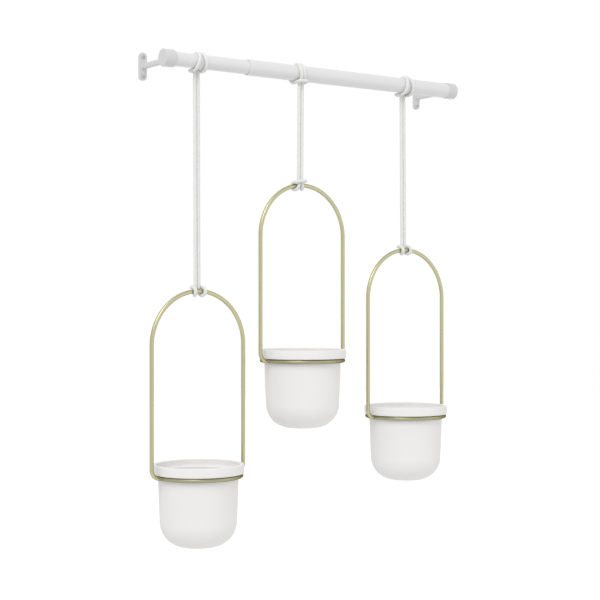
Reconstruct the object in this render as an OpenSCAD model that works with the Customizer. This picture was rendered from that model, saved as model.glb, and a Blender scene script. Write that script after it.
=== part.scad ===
// Hanging planter: a telescopic rod on two wall brackets carries three pots.
// Each pot sits in a wire hanger that a doubled cord ties to the rod.
// Millimetres. The origin is on the wall, at the centre of the four screw holes.
// X runs along the rod, Y points into the wall and Z is up.

/* [Rod] */
// Width over the outer faces of both brackets
rod_w = 591; // [560:1:760]
// Height of the rod's axis above the centre of the screw holes
rod_rise = 1.5; // [-2:0.5:2]
// Distance from the wall to the rod's axis
rod_reach = 86; // [84:1:120]
// Outside diameter of the thinner tube
inner_tube_d = 22.2; // [18:0.2:26]
// Wall thickness of the thinner tube
inner_tube_wall = 1.2; // [0.8:0.1:2]
// Length of the thinner tube
inner_tube_len = 420; // [300:5:480]
// Wall thickness of the thicker tube
outer_tube_wall = 1.5; // [1:0.1:2]
// Length of the thicker tube
outer_tube_len = 434; // [380:1:440]

/* [Brackets] */
// Height of a wall plate
plate_h = 44; // [40:1:60]
// Width of a wall plate
plate_w = 13.5; // [12.5:0.5:17]
// Thickness of a wall plate
plate_t = 4.5; // [3.5:0.5:7]
// Distance between the two screw holes of a plate
screw_spacing = 31; // [24:1:34]
// Diameter of a wall screw's shank
screw_d = 3.8; // [3:0.1:4.2]
// Distance from a bracket's outer face to the middle of its plate
plate_inset = 13.2; // [11:0.2:16]
// Height of a bracket's arm
arm_h = 8.8; // [6:0.2:12]
// Thickness of a bracket's arm
arm_w = 7; // [5:0.5:9]
// Thickness of the socket's wall round the thicker tube
socket_wall = 0.75; // [0.6:0.05:2]
// Length of the socket that holds a rod end
socket_len = 18.5; // [16:0.5:26]
// Thickness of the socket's closed end
socket_end_t = 3.5; // [2:0.5:5]

/* [Hangers] */
// Distance from the rod's left end to the middle of the left pot
left_inset = 64; // [60:0.5:66]
// Distance from the rod's right end to the middle of the right pot
right_inset = 109.2; // [96:0.2:116]
// Distance of the middle pot from the point halfway between the others
middle_shift = -10.3; // [-14:0.1:4]
// Drop from the rod's axis to the top of the left hanger
left_drop = 354; // [150:1:420]
// Drop from the rod's axis to the top of the middle hanger
middle_drop = 181.5; // [150:0.5:420]
// Drop from the rod's axis to the top of the right hanger
right_drop = 282; // [150:1:420]
// Diameter of the brass wire
wire_d = 6.3; // [4:0.1:6.6]
// Width of a hanger between its wire centres
hoop_w = 165.4; // [163:0.2:176]
// Height of a hanger between its wire centres
hoop_h = 284; // [250:1:340]
// Bend radius of a hanger's feet
foot_bend_r = 13.5; // [12.5:0.1:14.5]
// Diameter of the cord
cord_d = 5.4; // [4:0.1:5.6]
// How far the left cord hangs beside the middle of its hanger
left_cord_shift = 0; // [-10:0.5:10]
// How far the middle cord hangs beside the middle of its hanger
middle_cord_shift = -8; // [-10:0.5:10]
// How far the right cord hangs beside the middle of its hanger
right_cord_shift = -2; // [-10:0.5:10]

/* [Pots] */
// Height of a pot
pot_h = 127; // [110:1:150]
// Outside diameter of a pot's lip
lip_d = 141.2; // [140:0.2:144]
// Height of a pot's lip
lip_h = 14.4; // [10:0.2:20]
// Thickness of a pot's lip
lip_t = 6.1; // [4:0.1:8]
// Outside diameter of a pot just under its lip
body_top_d = 124.6; // [120:0.2:125]
// Outside diameter of a pot where its lower corner starts
body_low_d = 119; // [114:0.5:120]
// Radius of a pot's lower corner
corner_r = 39; // [30:1:42]
// Thickness of a pot's wall
pot_wall = 3.4; // [2.5:0.1:4.5]

/* [Hidden] */
sides = ["left", "middle", "right"];
pieces = ["rod_hitch", "cord", "hoop", "ring", "pot"];
rod_nodes = [
    "outer_tube", "inner_tube",
    "left_bracket", "right_bracket"
];

// Faces on a full turn of a round shape
$fn = 96;
// Faces on a full turn of a small round shape
small_fn = 48;

// Overrun of a cut past the face that it opens
overrun = 1;

// Clearances, each on the radius
slide_gap = 0.08;
socket_gap = 0.1;
seat_gap = 0.3;
cord_gap = 0.4;

// Rod
inner_tube_r = inner_tube_d / 2;
outer_bore_r = inner_tube_r + slide_gap;
outer_tube_r = outer_bore_r + outer_tube_wall;
mouth_round = outer_tube_wall / 2;
half_w = rod_w / 2;
seat_x = half_w - socket_end_t;
mouth_x = seat_x - outer_tube_len;
rod_y = -rod_reach;

// Brackets
socket_r = outer_tube_r + socket_gap + socket_wall;
socket_round = 0.8;
plate_x = half_w - plate_inset;
hole_gap = 0.3;
hole_r = screw_d / 2 + hole_gap;
// Seat of a countersunk screw head: a cone under a short straight rim
head_r = screw_d + hole_gap;
head_cone_h = 1.5;
head_rim_h = 0.6;
arm_edge_r = 2.2;
arm_flare_r = (plate_w - arm_w) / 2;
arm_root_rise = 1.2;

// Wire hanger
wire_r = wire_d / 2;
arch_r = hoop_w / 2;
body_gap = 0.85;
ring_r = body_top_d / 2 + body_gap + wire_r;
foot_len = arch_r - foot_bend_r - ring_r;
weld_cut_gap = 0.05;

// Cord
cord_r = cord_d / 2;
cord_sides = 8;
loop_rings = 20;
strand_clear = 0.5;
strand_pitch = cord_d + strand_clear;
strand_x = strand_pitch / 2;
wrap_x = strand_x + strand_pitch;
bight_bend_r = 0.75 * strand_pitch;
hoop_wrap_r = wire_r + cord_gap + cord_r;
// The strands hang on the bight's side, this share of the lower wrap's radius from the axis
strand_offset_share = 0.8;
strand_y = strand_offset_share * hoop_wrap_r;
// Turn from the strands to the bight, where nothing holds it nearer to them
bight_turn = 50;
// Start and length, in turns round the bar, of the stretch in which a wrap moves outwards
rod_spread = [170, 150];
hoop_spread = [45, 240];
exit_len = cord_d;
ring_step = 3 * cord_d;
cap_turns = [25, 55];
neck_gap = 0.3;
left_x = left_inset - half_w;
right_x = half_w - right_inset;
middle_x = (left_x + right_x) / 2 + middle_shift;
pot_xs = [left_x, middle_x, right_x];
rod_radii = [for (x = pot_xs) x < mouth_x ? inner_tube_r : outer_tube_r];
rod_wrap_rs = [for (tube_r = rod_radii) tube_r + cord_gap + cord_r];
drops = [left_drop, middle_drop, right_drop];
// Side on which each cord's bight crosses: 1 is towards the wall
bight_sides = [1, -1, 1];
strand_shifts = [left_cord_shift, middle_cord_shift, right_cord_shift];

// Pot
lip_r = lip_d / 2;
body_top_r = body_top_d / 2;
body_low_r = body_low_d / 2;
body_h = pot_h - lip_h;
inner_corner_r = corner_r - pot_wall;
lip_step_h = lip_h - pot_wall;
edge_r = 1.2;

// Path of a lark's head knot round a bar.
// Each point is [along the bar, towards the bight, away from the strands].

function wrap_start(wrap_r) = asin((strand_y + strand_pitch) / (wrap_r + strand_pitch));

// Turn at which the bight lies, on the two strands
function bight_at(wrap_r) = max(wrap_start(wrap_r), bight_turn);

// Turn at which a wrap leaves the bar and runs off straight to the bight
function wrap_end(wrap_r) = 360 + bight_at(wrap_r) - acos(wrap_r / (wrap_r + strand_pitch));

// Where a strand starts to bend over towards the bight's side of the bar
function strand_end(wrap_r) = -(wrap_r + strand_pitch) * cos(wrap_start(wrap_r));

function ease(share) = (1 - cos(180 * min(1, max(0, share)))) / 2;

// The strand bends outwards until it touches the wrap's circle
function strand_bend(wrap_r) =
    let (last = 90 + wrap_start(wrap_r))
    let (count = ceil(loop_rings * (180 - last) / 360))
    [for (i = [0 : count - 1])
        let (turn = 180 + (last - 180) * i / count)
        [strand_x,
         strand_y + strand_pitch * (1 + cos(turn)),
         strand_end(wrap_r) + strand_pitch * sin(turn)]];

// It goes once round the bar and moves outwards on the way
function round_bar(wrap_r, spread) =
    let (first = wrap_start(wrap_r))
    let (last = wrap_end(wrap_r))
    let (count = ceil(loop_rings * (last - first) / 360))
    [for (i = [0 : count])
        let (turn = first + (last - first) * i / count)
        let (out = ease((turn - spread[0]) / spread[1]))
        [strand_x + (wrap_x - strand_x) * out, wrap_r * sin(turn), -wrap_r * cos(turn)]];

// It turns in and so becomes the bight
function bight_corner(wrap_r) =
    let (last = wrap_end(wrap_r))
    let (run = sqrt(pow(wrap_r + strand_pitch, 2) - pow(wrap_r, 2)))
    let (count = ceil(loop_rings / 4))
    [for (i = [0 : count])
        let (turn = 90 * i / count)
        let (out = wrap_x - bight_bend_r * (1 - cos(turn)))
        let (along = run - bight_bend_r * (1 - sin(turn)))
        [out,
         wrap_r * sin(last) + along * cos(last),
         -wrap_r * cos(last) + along * sin(last)]];

function half_knot(wrap_r, spread) =
    concat(strand_bend(wrap_r), round_bar(wrap_r, spread), bight_corner(wrap_r));

function mirrored(points) =
    [for (i = [len(points) - 1 : -1 : 0]) [-points[i][0], points[i][1], points[i][2]]];

// The whole knot, with a straight stretch of the given points at both ends
function knot(wrap_r, spread, lead) =
    let (half = concat(lead, half_knot(wrap_r, spread)))
    concat(half, mirrored(half));

// Tube along a list of points

function direction(points, i) =
    let (ahead = points[min(i + 1, len(points) - 1)])
    let (behind = points[max(i - 1, 0)])
    (ahead - behind) / norm(ahead - behind);

function squared(side, forward) =
    let (flat = side - (side * forward) * forward)
    flat / norm(flat);

// Side directions that don't twist along the points
function side_directions(points) =
    [for (
        i = 0, side = squared([1, 0, 0], direction(points, 0));
        i < len(points);
        i = i + 1, side = squared(side, direction(points, min(i, len(points) - 1)))
    ) side];

function tube_points(points, radii) =
    let (side_list = side_directions(points))
    [for (i = [0 : len(points) - 1])
        let (side = side_list[i])
        let (up = cross(direction(points, i), side))
        for (j = [0 : cord_sides - 1])
            let (turn = 360 * j / cord_sides)
            points[i] + radii[i] * (cos(turn) * side + sin(turn) * up)];

function ring_faces(i) =
    [for (j = [0 : cord_sides - 1])
        let (k = (j + 1) % cord_sides)
        let (low = i * cord_sides)
        let (high = low + cord_sides)
        for (face = [[low + j, high + k, low + k], [low + j, high + j, high + k]]) face];

function end_faces(first, flip) =
    [for (j = [1 : cord_sides - 2])
        flip ? [first, first + j + 1, first + j] : [first, first + j, first + j + 1]];

module tube(points, radii) {
    last = (len(points) - 1) * cord_sides;
    rings = [for (i = [0 : len(points) - 2]) for (face = ring_faces(i)) face];
    polyhedron(tube_points(points, radii), concat(end_faces(0, false), rings, end_faces(last, true)));
}

function path_len(points) =
    [for (i = [1 : len(points) - 1]) norm(points[i] - points[i - 1])] * [for (i = [1 : len(points) - 1]) 1];

// Least gap between stretches of one tube that lie further apart along it than a wrap
function least_gap(points, skip) =
    min([for (i = [0 : len(points) - 1])
        for (j = [i + skip : 1 : len(points) - 1]) norm(points[i] - points[j])]) - cord_d;

// Wall brackets, drawn for the right end and mirrored for the left

module stadium(width, height) {
    square([width, height - width], center = true);
    translate([0, (height - width) / 2])
        circle(d = width);
    translate([0, (width - height) / 2])
        circle(d = width);
}

module plate() {
    translate([plate_x, 0, 0])
        rotate([90, 0, 0])
            linear_extrude(plate_t)
                stadium(plate_w, plate_h);
}

module at_screws() {
    for (rise = [-screw_spacing / 2, screw_spacing / 2])
        translate([plate_x, 0, rise])
            rotate([90, 0, 0])
                children();
}

module screw_hole() {
    translate([0, 0, -overrun])
        cylinder(r = hole_r, h = plate_t + 2 * overrun, $fn = small_fn);
    translate([0, 0, plate_t - head_rim_h - head_cone_h])
        cylinder(r1 = hole_r, r2 = head_r, h = head_cone_h, $fn = small_fn);
    translate([0, 0, plate_t - head_rim_h])
        cylinder(r = head_r, h = head_rim_h + overrun, $fn = small_fn);
}

// Cross-section of the arm, a bar with rounded edges
module arm_section() {
    square([arm_w - 2 * arm_edge_r, arm_h], center = true);
    square([arm_w, arm_h - 2 * arm_edge_r], center = true);
    for (x = [-arm_w / 2 + arm_edge_r, arm_w / 2 - arm_edge_r])
        for (y = [-arm_h / 2 + arm_edge_r, arm_h / 2 - arm_edge_r])
            translate([x, y])
                circle(r = arm_edge_r, $fn = small_fn);
}

// Half outline of the arm's root from above: it spreads over the plate
module root_outline() {
    difference() {
        square([plate_w / 2, arm_flare_r]);
        translate([plate_w / 2, arm_flare_r])
            circle(r = arm_flare_r);
    }
}

// Half outline of the arm's root from the side: a little taller at the plate
module root_side() {
    square([arm_flare_r, arm_h / 2 - arm_edge_r]);
    difference() {
        square([arm_root_rise, arm_h / 2 + arm_root_rise]);
        translate([arm_root_rise, arm_h / 2 + arm_root_rise])
            circle(r = arm_root_rise, $fn = small_fn);
    }
}

module arm() {
    translate([plate_x, -plate_t, 0]) {
        rotate([90, 0, 0])
            linear_extrude(rod_reach - plate_t)
                arm_section();
        for (flip = [0, 1])
            mirror([0, 0, flip])
                intersection() {
                    linear_extrude(arm_h)
                        mirror([0, 1])
                            for (side = [0, 1])
                                mirror([side, 0])
                                    root_outline();
                    translate([-plate_w / 2, 0, 0])
                        rotate([0, 0, -90])
                            rotate([90, 0, 0])
                                linear_extrude(plate_w)
                                    root_side();
                }
    }
}

// Half outline of the socket, from its open end to its rounded closed end
module socket_outline() {
    difference() {
        square([socket_r, socket_len]);
        translate([socket_r - socket_round, socket_len - socket_round])
            difference() {
                square(socket_round + overrun);
                circle(r = socket_round, $fn = small_fn);
            }
    }
}

module bracket(tube_r) {
    difference() {
        union() {
            plate();
            arm();
            translate([half_w - socket_len, rod_y, rod_rise])
                rotate([0, 90, 0])
                    rotate_extrude()
                        socket_outline();
        }
        at_screws()
            screw_hole();
        translate([half_w - socket_len - overrun, rod_y, rod_rise])
            rotate([0, 90, 0])
                cylinder(r = tube_r + socket_gap, h = socket_len - socket_end_t + overrun);
    }
}

// Half outline of a straight tube's wall, with a rounded outer edge at its far end
module tube_outline(bore_r, tube_r, length, round_r) {
    difference() {
        translate([bore_r, 0])
            square([tube_r - bore_r, length]);
        translate([tube_r - round_r, length - round_r])
            difference() {
                square(round_r + overrun);
                circle(r = round_r, $fn = small_fn);
            }
    }
}

module outer_tube() {
    color("white")
        translate([seat_x, rod_y, rod_rise])
            rotate([0, -90, 0])
                rotate_extrude()
                    tube_outline(outer_bore_r, outer_tube_r, outer_tube_len, mouth_round);
}

module inner_tube() {
    bore_r = inner_tube_r - inner_tube_wall;
    color("white")
        translate([-seat_x, rod_y, rod_rise])
            rotate([0, 90, 0])
                rotate_extrude()
                    tube_outline(bore_r, inner_tube_r, inner_tube_len, inner_tube_wall / 2);
}

module left_bracket() {
    color("white")
        mirror([1, 0, 0])
            bracket(inner_tube_r);
}

module right_bracket() {
    color("white")
        bracket(outer_tube_r);
}

// Pieces of one hanger. Each stands with the hanger's top wire centre at its own origin,
// and the number says which of the three it is.

module at_hanger(number) {
    translate([pot_xs[number], rod_y, rod_rise - drops[number]])
        children();
}

// The knot on the rod and the two short ends that leave it
module rod_hitch(number) {
    wrap_r = rod_wrap_rs[number];
    foot = strand_end(wrap_r);
    lead = [[strand_x, strand_y, foot - exit_len], [strand_x, strand_y, foot - exit_len / 2]];
    points = [for (p = knot(wrap_r, rod_spread, lead)) [p[0], bight_sides[number] * p[1], p[2]]];
    echo(str(sides[number], " rod hitch, least gap to itself"), least_gap(points, loop_rings / 2));
    echo(str(sides[number], " rod hitch, length of cord"), path_len(points));
    color("ghostwhite")
        translate([pot_xs[number] + strand_shifts[number], rod_y, rod_rise])
            tube(points, [for (p = points) cord_r]);
}

// How far the hanger's arch has dropped at a place beside its middle
function arch_drop(x) = arch_r - sqrt(pow(arch_r, 2) - pow(x, 2));

// Height of the strands' round upper ends above the hanger's top wire centre
function neck_z(number) =
    drops[number] + strand_end(rod_wrap_rs[number]) - exit_len - neck_gap - cord_r;

// The two strands, from their round upper ends, and the knot on the hanger
module cord(number) {
    top = -neck_z(number);
    foot = strand_end(hoop_wrap_r);
    count = ceil((foot - top) / ring_step);
    lead = concat(
        [for (turn = cap_turns) [strand_x, strand_y, top - cord_r * cos(turn)]],
        [for (i = [0 : count - 1]) [strand_x, strand_y, top + (foot - top) * i / count]]
    );
    shift = strand_shifts[number];
    points = [for (p = knot(hoop_wrap_r, hoop_spread, lead))
        let (near = min(1, max(0, (p[2] - top) / (foot - top))))
        [p[0] + shift, bight_sides[number] * p[1], -p[2] - near * arch_drop(p[0] + shift)]];
    caps = [for (turn = cap_turns) cord_r * sin(turn)];
    plain = [for (i = [1 : len(points) - 2 * len(caps)]) cord_r];
    radii = concat(caps, plain, [for (i = [len(caps) - 1 : -1 : 0]) caps[i]]);
    echo(str(sides[number], " cord, least gap to itself"), least_gap(points, loop_rings / 2));
    echo(str(sides[number], " cord, length of cord"), path_len(points));
    echo(str(sides[number], " cord, height of its upper ends"), rod_rise - drops[number] + neck_z(number));
    color("ghostwhite")
        at_hanger(number)
            tube(points, radii);
}

// One leg's foot: a bend and a short run to the ring's axis
module foot() {
    translate([foot_bend_r, 0, foot_bend_r])
        rotate([90, 0, 0])
            rotate_extrude(angle = 90, start = 180)
                translate([foot_bend_r, 0])
                    circle(r = wire_r, $fn = small_fn);
    translate([foot_bend_r, 0, 0])
        rotate([0, 90, 0])
            cylinder(r = wire_r, h = foot_len, $fn = small_fn);
}

module at_feet() {
    for (turn = [0, 180])
        rotate([0, 0, turn])
            translate([-arch_r, 0, -hoop_h])
                children();
}

module ring_wire(radius) {
    translate([0, 0, -hoop_h])
        rotate_extrude()
            translate([ring_r, 0])
                circle(r = radius, $fn = small_fn);
}

module hoop(number) {
    color("goldenrod")
        at_hanger(number)
            difference() {
                union() {
                    translate([0, 0, -arch_r])
                        rotate([90, 0, 0])
                            rotate_extrude(angle = 180)
                                translate([arch_r, 0])
                                    circle(r = wire_r, $fn = small_fn);
                    for (x = [-arch_r, arch_r])
                        translate([x, 0, foot_bend_r - hoop_h])
                            cylinder(r = wire_r, h = hoop_h - arch_r - foot_bend_r, $fn = small_fn);
                    at_feet()
                        foot();
                }
                ring_wire(wire_r + weld_cut_gap);
            }
}

module ring(number) {
    color("goldenrod")
        at_hanger(number)
            ring_wire(wire_r);
}

// A square corner, less the quarter circle that rounds it
module corner_cut(round_r) {
    difference() {
        square(round_r + overrun);
        circle(r = round_r, $fn = small_fn);
    }
}

// Half outline of a pot's outside
module pot_outside() {
    intersection() {
        square([lip_r, pot_h]);
        union() {
            translate([body_low_r - corner_r, corner_r])
                circle(r = corner_r);
            square([body_low_r - corner_r, corner_r]);
        }
    }
    polygon([[0, corner_r], [body_low_r, corner_r], [body_top_r, body_h], [0, body_h]]);
    difference() {
        translate([0, body_h])
            square([lip_r, lip_h]);
        translate([lip_r - edge_r, pot_h - edge_r])
            corner_cut(edge_r);
        translate([lip_r - edge_r, body_h + edge_r])
            mirror([0, 1])
                corner_cut(edge_r);
    }
}

// Half outline of a pot's inside, open at the top
module pot_inside() {
    intersection() {
        square([lip_r, pot_h]);
        union() {
            translate([body_low_r - corner_r, corner_r])
                circle(r = inner_corner_r);
            translate([0, pot_wall])
                square([body_low_r - corner_r, inner_corner_r]);
        }
    }
    polygon([
        [0, corner_r],
        [body_low_r - pot_wall, corner_r],
        [body_top_r - pot_wall, pot_h - lip_step_h],
        [0, pot_h - lip_step_h]
    ]);
    translate([0, pot_h - lip_step_h])
        square([lip_r - lip_t, lip_step_h + overrun]);
    translate([0, pot_h - edge_r])
        difference() {
            square([lip_r - lip_t + edge_r, edge_r + overrun]);
            translate([lip_r - lip_t + edge_r, 0])
                circle(r = edge_r, $fn = small_fn);
        }
}

module pot(number) {
    color("whitesmoke")
        at_hanger(number)
            translate([0, 0, wire_r + seat_gap - hoop_h - body_h])
                rotate_extrude()
                    difference() {
                        pot_outside();
                        pot_inside();
                    }
}

outer_tube();
inner_tube();
left_bracket();
right_bracket();
for (i = [0 : len(sides) - 1]) {
    rod_hitch(i);
    cord(i);
    hoop(i);
    ring(i);
    pot(i);
}
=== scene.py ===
import math

import bmesh
import bpy
import numpy as np
from bpy.props import FloatProperty, FloatVectorProperty, IntProperty, PointerProperty
from bpy.types import Operator, Panel, PropertyGroup
from mathutils import Matrix, Vector


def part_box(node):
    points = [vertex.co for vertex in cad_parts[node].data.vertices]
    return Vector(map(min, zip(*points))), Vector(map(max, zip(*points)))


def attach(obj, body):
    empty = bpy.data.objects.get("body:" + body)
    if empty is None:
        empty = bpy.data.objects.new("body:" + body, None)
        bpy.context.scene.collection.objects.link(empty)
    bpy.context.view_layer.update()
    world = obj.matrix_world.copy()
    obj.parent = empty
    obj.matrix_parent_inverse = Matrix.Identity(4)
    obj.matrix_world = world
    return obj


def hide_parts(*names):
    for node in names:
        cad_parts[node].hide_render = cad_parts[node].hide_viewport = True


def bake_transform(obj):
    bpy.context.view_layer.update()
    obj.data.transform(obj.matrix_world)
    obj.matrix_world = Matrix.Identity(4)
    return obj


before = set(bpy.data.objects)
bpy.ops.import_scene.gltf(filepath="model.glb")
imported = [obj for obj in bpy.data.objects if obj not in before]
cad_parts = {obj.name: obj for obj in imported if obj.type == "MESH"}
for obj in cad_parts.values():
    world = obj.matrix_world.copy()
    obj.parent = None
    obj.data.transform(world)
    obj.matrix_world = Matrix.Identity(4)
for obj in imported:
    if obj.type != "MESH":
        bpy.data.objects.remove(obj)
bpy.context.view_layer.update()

bl_info = {
    "name": "Hanging Planter",
    "version": (1, 0, 0),
    "blender": (4, 5, 0),
    "location": "3D View > Sidebar > Planter",
    "description": "Dresses a wall-mounted rod and its three hanging pots",
    "category": "Object",
}

MM = 0.001
MERGE_DISTANCE = 0.001 * MM
SIDES = ("left", "middle", "right")
AXES = {"x": 0, "y": 1, "z": 2}

# The moving body that each end of the rod belongs to
END_BODIES = {"left": "sliding_side", "right": "fixed_side"}

# Steps of round shapes, on a full turn unless another stretch is named
TUBE_TURNS = 160
POT_TURNS = 192
SCREW_TURNS = 64
SCREW_RINGS = 30
RING_STEPS = 192
ARCH_STEPS = 128
FOOT_STEPS = 24
WELD_STEPS = 12
CORNER_STEPS = 28
TUBE_FILLET_STEPS = 8
POT_FILLET_STEPS = 7

# Longest side of a face along a tube and along a pot's outline
TUBE_STEP = 12 * MM
POT_STEP = 6 * MM

# Steps and sides of the swept cords, wires and welds
CORD_STEP = 0.45 * MM
CORD_SIDES = 40
WIRE_STEP = 1.2 * MM
WIRE_SIDES = 40
WELD_STEP = 0.4 * MM
WELD_SIDES = 20

# Places of the welds' beads, in wire radii past the ring's axis and beside the foot's axis
WELD_REACH = 0.85
WELD_ASIDE = 0.95

# Softening of the cast brackets
CAST_VOXEL = 0.42 * MM
CAST_SMOOTHING = 0.5
CAST_ROUNDS = 5

# Rounding of a pot's corners, and of the ledge's corner inside the lip
POT_ROUND = 1 * MM
LEDGE_ROUND = 1.5 * MM

# The driver's cross on a screw, as shares of the head's radius
CROSS_REACH = 0.66
CROSS_HALF = 0.13
CROSS_RAMP = 0.06
CROSS_FADE = 1.6
RIM_STEP = 0.1 * MM

# Stage, in metres and watts
FLOOR_HALF = 14
CLIP_START, CLIP_END = 0.05, 60
AIM_Z = -0.36
KEY_PLACE, KEY_SIZE = (-2.2, -1.7, 2.1), 2.2
FILL_PLACE, FILL_SIZE = (1.8, -2.4, -0.1), 2.6
FLOOR_GLOW = 0.45


def frame_span(node, axis):
    """How far a CAD node reaches along an axis."""
    low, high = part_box(node)
    return (high - low)[AXES[axis]]


def frame_middle(node, axis):
    """The middle of a CAD node along an axis."""
    low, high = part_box(node)
    return (low + high)[AXES[axis]] / 2


# Properties


def length(name, description, millimetres, low=0.0):
    return FloatProperty(
        name=name,
        description=description,
        default=millimetres * MM,
        min=low,
        subtype="DISTANCE",
        unit="LENGTH",
    )


def angle(name, description, degrees):
    return FloatProperty(
        name=name,
        description=description,
        default=math.radians(degrees),
        subtype="ANGLE",
        unit="ROTATION",
    )


def colour(name, description, rgb):
    return FloatVectorProperty(
        name=name,
        description=description,
        default=rgb,
        size=3,
        min=0,
        max=1,
        subtype="COLOR",
    )


def watts(name, description, power):
    return FloatProperty(name=name, description=description, default=power, min=0)


def share(name, description, value):
    return FloatProperty(name=name, description=description, default=value, min=0, max=1)


class RodSizes(PropertyGroup):
    """Sizes of the telescopic rod and its brackets."""

    outer_d: length("Outer Tube", "Diameter of the thicker tube", frame_span("outer_tube", "z") / MM)
    inner_d: length("Inner Tube", "Diameter of the thinner tube", frame_span("inner_tube", "z") / MM)
    outer_wall: length("Outer Wall", "Wall thickness of the thicker tube", 1.5)
    inner_wall: length("Inner Wall", "Wall thickness of the thinner tube", 1.2)
    mouth_round: length("Mouth Round", "Rounding of the tubes' edges", 0.6)
    bracket_round: length("Bracket Round", "Rounding of the brackets' edges", 0.45)


class ScrewSizes(PropertyGroup):
    """Sizes and places of the wall screws."""

    shank_d: length("Shank", "Diameter of the shank", 3.8)
    head_d: length("Head", "Diameter of the head", 7.9)
    head_h: length("Head Height", "Height of the head under its rim", 1.9)
    head_rim: length("Head Rim", "Height of the head's straight rim", 0.45)
    dome_h: length("Dome", "Height of the head's dome", 1.9)
    cross_depth: length("Cross Depth", "Depth of the driver's cross", 1.7)
    plate_t: length("Plate", "Thickness of a wall plate", 4.5)
    plate_inset: length("Plate Inset", "From a bracket's outer face to its plate's middle", 13.2)
    spacing: length("Spacing", "Distance between the two screws of a plate", 31)
    sink: length("Sink", "Depth of the heads' rims under the plate's face", 0.1)


class CordSizes(PropertyGroup):
    """Sizes of the cords and their braid."""

    cord_d: length("Cord", "Diameter of the cord", 5.6)
    strand_gap: length("Strand Gap", "Gap between the two strands", 0.3)
    bar_gap: length("Bar Gap", "Gap between a knot and what it holds", 0.12)
    press_gap: length("Press Gap", "Gap between a flattened cord and the rod", 0.05)
    rod_offset: length("Rod Offset", "How far the strands hang beside the rod's axis", 6)
    hoop_offset: length("Hoop Offset", "How far the strands hang beside the hoop's axis", 4)
    squeeze: length("Squeeze", "How far a cord flattens on top of the rod", 1.7)
    crowding: share("Crowding", "How far apart the pressed cords lie on the rod", 0.86)
    middle_lean: length("Middle Lean", "How far the middle knot leans along the rod", -2.4, -1)
    bight_turn: angle("Bight Turn", "Turn round the rod from the strands to the bight", 50)
    braid_cell: length("Braid Cell", "Length of one crossing of the braid", 2.1)
    braid_depth: length("Braid Depth", "Depth of the braid's grooves", 0.12)
    carriers: IntProperty(
        name="Carriers", description="Yarns of the braid in each direction", default=8, min=4
    )
    left_shift: length("Left Shift", "Place of the left cord beside its hanger's middle", 0, -1)
    middle_shift: length("Middle Shift", "Place of the middle cord beside its hanger's middle", -8, -1)
    right_shift: length("Right Shift", "Place of the right cord beside its hanger's middle", -2, -1)


class HangerSizes(PropertyGroup):
    """Sizes of the brass wire hangers."""

    wire_d: length("Wire", "Diameter of the wire", 6.3)
    foot_bend: length("Foot Bend", "Bend radius at the foot of a leg", 13.5)
    weld_d: length("Weld", "Thickness of a weld's bead", 2.6)
    weld_length: length("Weld Length", "Length of a weld's bead", 5.2)
    end_round: length("End Round", "Rounding of the wire's cut ends", 1.1)


class PotSizes(PropertyGroup):
    """Sizes of a pot."""

    lip_h: length("Lip Height", "Height of the lip", 14.4)
    lip_t: length("Lip Thickness", "Thickness of the lip", 6.1)
    top_d: length("Body Top", "Diameter just under the lip", 124.6)
    low_d: length("Body Bottom", "Diameter where the lower corner starts", 119)
    corner: length("Corner", "Radius of the lower corner", 39)
    wall: length("Wall", "Thickness of the wall", 3.4)
    edge: length("Edge", "Rounding of the lip's edges", 1.4)


class Finishes(PropertyGroup):
    """Colours of the finishes."""

    tube_white: colour("Rod White", "Paint of the rod", (0.78, 0.78, 0.78))
    bracket_white: colour("Bracket White", "Paint of the brackets", (0.67, 0.67, 0.67))
    screw_white: colour("Screw White", "Coating of the screws", (0.6, 0.6, 0.6))
    cord_white: colour("Cord White", "Yarn of the cords", (0.82, 0.82, 0.815))
    hoop_brass: colour("Hoop Brass", "Satin brass of the hoops", (0.475, 0.455, 0.275))
    # The rings' and welds' brass is a darker copy of the hoops' brass: painted shade from the pots' lips
    # above
    shaded_ring_brass: colour("Ring Brass", "Satin brass of the rings under the lips", (0.35, 0.33, 0.205))
    pot_white: colour("Pot White", "Matt white of the pots", (0.9, 0.89, 0.88))
    floor: colour("Floor", "Floor under the planter", (0.9, 0.9, 0.9))


class StageSizes(PropertyGroup):
    """The camera, the floor and the light."""

    lens: FloatProperty(name="Lens", description="Focal length in millimetres", default=83.5, min=10)
    azimuth: angle("Azimuth", "Angle from which the camera looks", -36)
    camera_x: length("Camera X", "Place of the camera along the rod", -1366.1, -10)
    camera_y: length("Camera Y", "Place of the camera before the wall", -1914.1, -10)
    camera_z: length("Camera Z", "Height of the camera", -366.1, -10)
    floor_z: length("Floor Z", "Height of the floor", -1700, -10)
    key_strength: watts("Key", "Power of the main lamp in watts", 46)
    fill_strength: watts("Fill", "Power of the second lamp in watts", 8)
    sky_strength: share("Sky", "Strength of the light from all round", 0.7)


# Node trees


class Value:
    """A socket of a node tree. Sums on it add Math nodes."""

    def __init__(self, nodes, socket):
        self.nodes = nodes
        self.socket = socket

    def math(self, operation, *others):
        return self.nodes.add("ShaderNodeMath", {"operation": operation}, [self, *others])

    def __add__(self, other):
        return self.math("ADD", other)

    __radd__ = __add__

    def __sub__(self, other):
        return self.math("SUBTRACT", other)

    def __rsub__(self, other):
        return self.nodes.add("ShaderNodeMath", {"operation": "SUBTRACT"}, [other, self])

    def __mul__(self, other):
        return self.math("MULTIPLY", other)

    __rmul__ = __mul__

    def __truediv__(self, other):
        return self.math("DIVIDE", other)

    def __rtruediv__(self, other):
        return self.nodes.add("ShaderNodeMath", {"operation": "DIVIDE"}, [other, self])

    def __pow__(self, other):
        return self.math("POWER", other)

    def __abs__(self):
        return self.math("ABSOLUTE")

    def sin(self):
        return self.math("SINE")

    def low(self, other):
        return self.math("MINIMUM", other)

    def high(self, other):
        return self.math("MAXIMUM", other)


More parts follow.
